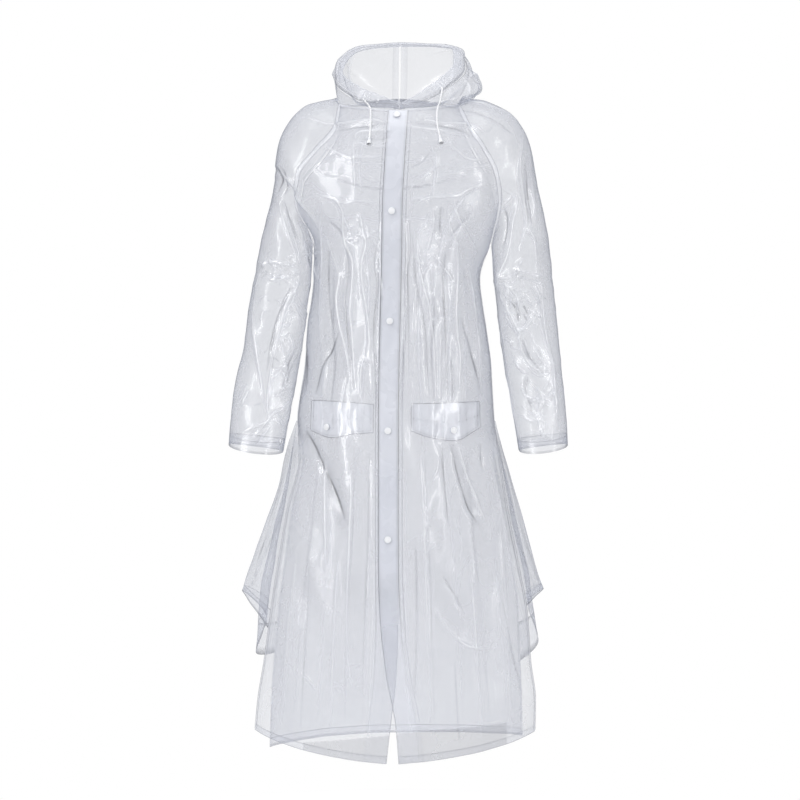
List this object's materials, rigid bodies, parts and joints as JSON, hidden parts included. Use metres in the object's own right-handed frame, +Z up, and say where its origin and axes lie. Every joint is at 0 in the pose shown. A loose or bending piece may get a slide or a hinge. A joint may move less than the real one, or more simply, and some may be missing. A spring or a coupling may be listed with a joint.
{
  "type": "hooded raincoat",
  "caption": "Long clear film raincoat, filled out as worn, with an open drawcord hood, raglan sleeves, a snap placket, pocket flaps and a flared skirt with side gussets.",
  "frame": {"origin": "between the shoulders at the base of the neck, where the wearer carries the coat", "axes": "+Z up, the coat's front faces -Y, the wearer's left sleeve is on +X"},
  "size_m": [0.6527, 0.4066, 1.4162],
  "materials": {
    "clear_film": "thin milky clear plastic film, soft gloss",
    "white_cord": "white braided cord, matt",
    "white_plastic": "white moulded plastic, soft gloss"
  },
  "bodies": {
    "root": {"back": "clear_film", "front_right": "clear_film", "front_left": "clear_film", "placket": "clear_film", "sleeve_right": "clear_film", "sleeve_left": "clear_film", "gusset_right": "clear_film", "gusset_left": "clear_film", "hood_right": "clear_film", "hood_left": "clear_film", "hood_casing": "clear_film", "flap_right": "clear_film", "flap_left": "clear_film", "cord_casing": "white_cord", "cord_right": "white_cord", "cord_left": "white_cord", "toggle_right": "white_plastic", "toggle_left": "white_plastic", "snap_front_1": "white_plastic", "snap_front_2": "white_plastic", "snap_front_3": "white_plastic", "snap_front_4": "white_plastic", "snap_front_5": "white_plastic", "snap_flap_right": "white_plastic", "snap_flap_left": "white_plastic", "snap_cuff_right": "white_plastic"}
  },
  "joints": []
}
